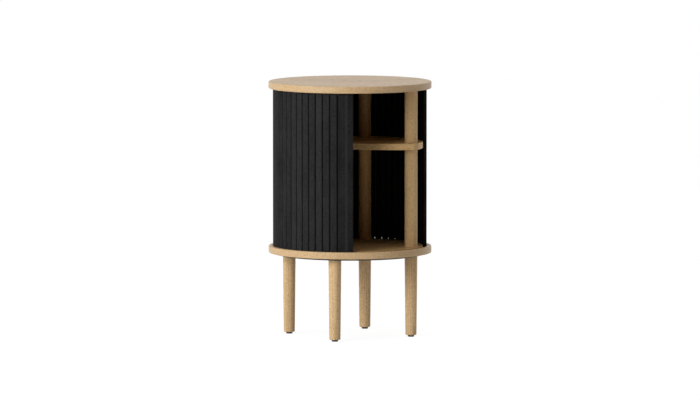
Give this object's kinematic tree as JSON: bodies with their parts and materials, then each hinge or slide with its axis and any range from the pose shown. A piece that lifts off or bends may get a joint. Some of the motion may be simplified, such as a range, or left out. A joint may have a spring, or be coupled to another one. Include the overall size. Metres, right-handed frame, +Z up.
{
  "type": "side table",
  "caption": "Round side table on tapered legs, with a slatted tambour door that slides round two compartments and a shelf.",
  "frame": {"origin": "floor centre under the table, on its vertical middle axis", "axes": "+Z up, -Y towards the front, +X to the right seen from the front; the legs stand on the diagonals"},
  "size_m": [0.3799, 0.38, 0.595],
  "materials": {
    "light_oak": "matt oiled",
    "black_stained_wood": "matt stained",
    "black_canvas": "matt woven",
    "dark_plate": "matt powder coat",
    "dark_glide": "matt",
    "brass_insert": "machined",
    "steel_fastener": "zinc plated"
  },
  "bodies": {
    "carcass": {"base_board": "light_oak", "foot_pad_back_left": "dark_glide", "foot_pad_back_right": "dark_glide", "foot_pad_front_left": "dark_glide", "foot_pad_front_right": "dark_glide", "leg_back_left": "light_oak", "leg_back_right": "light_oak", "leg_front_left": "light_oak", "leg_front_right": "light_oak", "leg_inserts": "brass_insert", "leg_studs": "steel_fastener", "long_post_front_left": "light_oak", "long_post_inserts": "brass_insert", "lower_post_back_left": "light_oak", "lower_post_back_right": "light_oak", "lower_post_front_right": "light_oak", "lower_post_inserts": "brass_insert", "pad_nails": "steel_fastener", "plate_screws": "steel_fastener", "shelf": "light_oak", "shelf_studs": "steel_fastener", "top_board": "light_oak", "top_board_inserts": "brass_insert", "top_studs": "steel_fastener", "under_plate": "dark_plate", "upper_post_back_left": "light_oak", "upper_post_back_right": "light_oak", "upper_post_front_right": "light_oak", "upper_post_inserts": "brass_insert"},
    "tambour_door": {"canvas": "black_canvas", "lead_stile": "black_stained_wood", "slat_43": "black_stained_wood", "slats_01_02": "black_stained_wood", "slats_03_04": "black_stained_wood", "slats_05_06": "black_stained_wood", "slats_07_08": "black_stained_wood", "slats_09_10": "black_stained_wood", "slats_11_12": "black_stained_wood", "slats_13_14": "black_stained_wood", "slats_15_16": "black_stained_wood", "slats_17_18": "black_stained_wood", "slats_19_20": "black_stained_wood", "slats_21_22": "black_stained_wood", "slats_23_24": "black_stained_wood", "slats_25_26": "black_stained_wood", "slats_27_28": "black_stained_wood", "slats_29_30": "black_stained_wood", "slats_31_32": "black_stained_wood", "slats_33_34": "black_stained_wood", "slats_35_36": "black_stained_wood", "slats_37_38": "black_stained_wood", "slats_39_40": "black_stained_wood", "slats_41_42": "black_stained_wood", "tail_stile": "black_stained_wood"}
  },
  "joints": [
    {"name": "door_turn", "type": "hinge", "parent": "carcass", "child": "tambour_door", "pos_m": [0, 0, 0.211], "axis": [0, 0, 1], "continuous": true}
  ]
}
